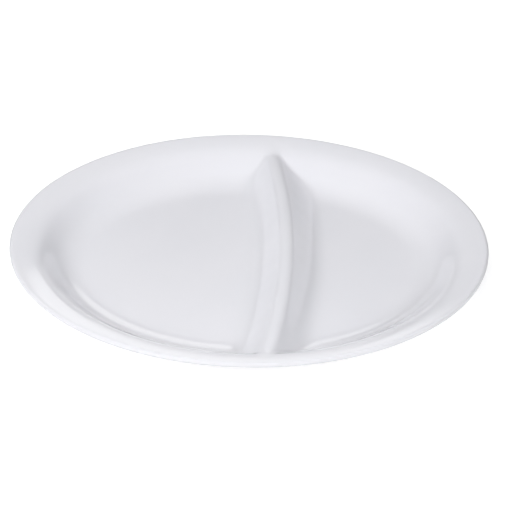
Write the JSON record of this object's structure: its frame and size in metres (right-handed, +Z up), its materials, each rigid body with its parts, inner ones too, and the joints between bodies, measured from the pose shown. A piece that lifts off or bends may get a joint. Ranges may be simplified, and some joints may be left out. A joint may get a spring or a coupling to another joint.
{
  "type": "divided plate",
  "caption": "Oval glazed plate with a soft rim and sloping walls, parted by a bowed ridge into a large and a small compartment, on a low oval foot ring.",
  "frame": {"origin": "middle of the foot ring's underside, which is the bottom centre of the bounding box", "axes": "+X along the plate towards the small compartment, +Y across it, +Z up"},
  "size_m": [0.27, 0.19, 0.0254],
  "materials": {
    "glazed_body": "clear gloss glaze over white porcelain",
    "glazed_ridge": "clear gloss glaze over white porcelain",
    "foot": "bare fired porcelain on the ground edge, glazed on its sides"
  },
  "bodies": {
    "root": {"plate_shell": "glazed_body", "divider": "glazed_ridge", "foot_ring": "foot"}
  },
  "joints": []
}
